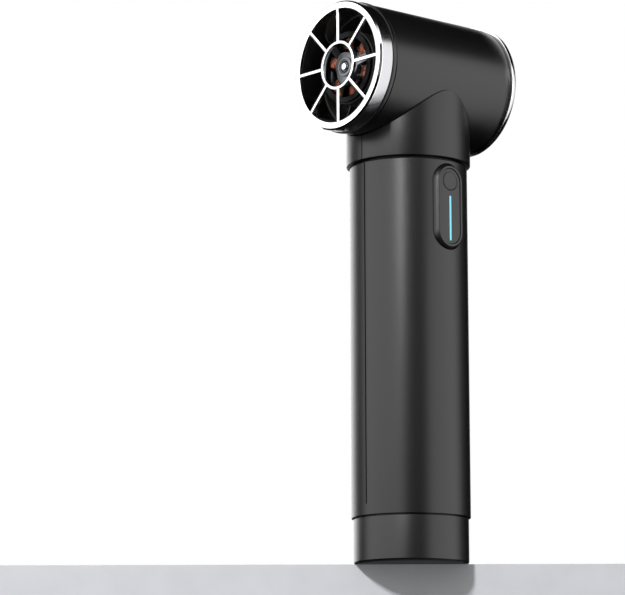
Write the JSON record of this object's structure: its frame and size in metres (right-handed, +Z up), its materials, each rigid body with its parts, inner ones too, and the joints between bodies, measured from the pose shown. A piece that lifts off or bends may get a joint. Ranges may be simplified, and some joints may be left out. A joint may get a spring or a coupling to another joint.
{
  "type": "cordless car dryer blower",
  "caption": "Hand-held cordless jet blower for drying cars: a matte black ducted-fan head with chromed outlet grille and intake, on a round battery handle",
  "frame": {"origin": "centre of the foot's underside, on the handle's axis", "axes": "Z up the handle; Y along the head, the outlet faces -Y and the intake +Y; the control panel faces +X"},
  "size_m": [0.0582, 0.0772, 0.2369],
  "materials": {
    "black_shell": "fine satin, almost smooth",
    "chrome": "polished plating",
    "dark_nylon": "moulded, lightly grained",
    "rubber": "matte",
    "ground_steel": "ground",
    "silicon_steel": "laminated, dull",
    "insulator": "moulded",
    "copper_wire": "enamelled copper wire",
    "grey_casting": "die cast",
    "cast_aluminium": "fine cast",
    "dark_anodised": "anodised",
    "magnet": "nickel plated",
    "circuit_board": "solder mask",
    "light_guide": "emissive light guide",
    "cell_wrap": "shrink wrap",
    "nickel_strip": "rolled",
    "wire_sleeve_black": "insulation",
    "wire_sleeve_red": "insulation"
  },
  "bodies": {
    "blower": {"head_barrel": "black_shell", "outlet_grille": "chrome", "outlet_trim_ring": "black_shell", "intake_bellmouth": "chrome", "intake_guard": "dark_nylon", "mount_ring_outlet": "rubber", "mount_ring_intake": "rubber", "duct_liner": "dark_nylon", "motor_frame": "dark_nylon", "stator_core": "silicon_steel", "winding_insulator_outlet": "insulator", "winding_insulator_intake": "insulator", "stator_winding": "copper_wire", "motor_end_bracket": "grey_casting", "bearing_outer_outlet": "ground_steel", "bearing_outer_intake": "ground_steel", "neck_shell_left": "black_shell", "neck_shell_right": "black_shell", "neck_seal_ring": "rubber", "handle_sleeve": "black_shell", "panel_bezel": "black_shell", "panel_plate": "black_shell", "light_bar": "light_guide", "switch_board": "circuit_board", "tact_switch": "dark_nylon", "controller_board": "circuit_board", "capacitor": "wire_sleeve_black", "battery_cell_1": "cell_wrap", "battery_cell_2": "cell_wrap", "battery_cell_3": "cell_wrap", "battery_cell_4": "cell_wrap", "cell_holder_base": "dark_nylon", "cell_holder_top": "dark_nylon", "cell_link_1": "nickel_strip", "cell_link_2": "nickel_strip", "cell_link_3": "nickel_strip", "base_cap": "black_shell", "foot_pad": "rubber", "usb_socket": "ground_steel", "charge_board": "circuit_board", "base_screw_1": "ground_steel", "base_screw_2": "ground_steel", "motor_wire_a": "wire_sleeve_black", "motor_wire_b": "wire_sleeve_black", "motor_wire_c": "wire_sleeve_black", "battery_lead_positive": "wire_sleeve_red", "battery_lead_negative": "wire_sleeve_black", "charge_lead": "wire_sleeve_black"},
    "rotor": {"impeller": "cast_aluminium", "spinner_nut": "dark_anodised", "rotor_shaft": "ground_steel", "rotor_magnet": "magnet", "bearing_inner_outlet": "ground_steel", "bearing_inner_intake": "ground_steel"},
    "button": {"power_button": "black_shell", "switch_plunger": "dark_nylon"}
  },
  "joints": [
    {"name": "rotor_spin", "type": "hinge", "parent": "blower", "child": "rotor", "pos_m": [0, 0, 0.2078], "axis": [0, 1, 0], "continuous": true},
    {"name": "button_press", "type": "slide", "parent": "blower", "child": "button", "axis": [-1, 0, 0], "range_m": [0, 0.0006], "stiffness_N_per_m": 1500}
  ]
}
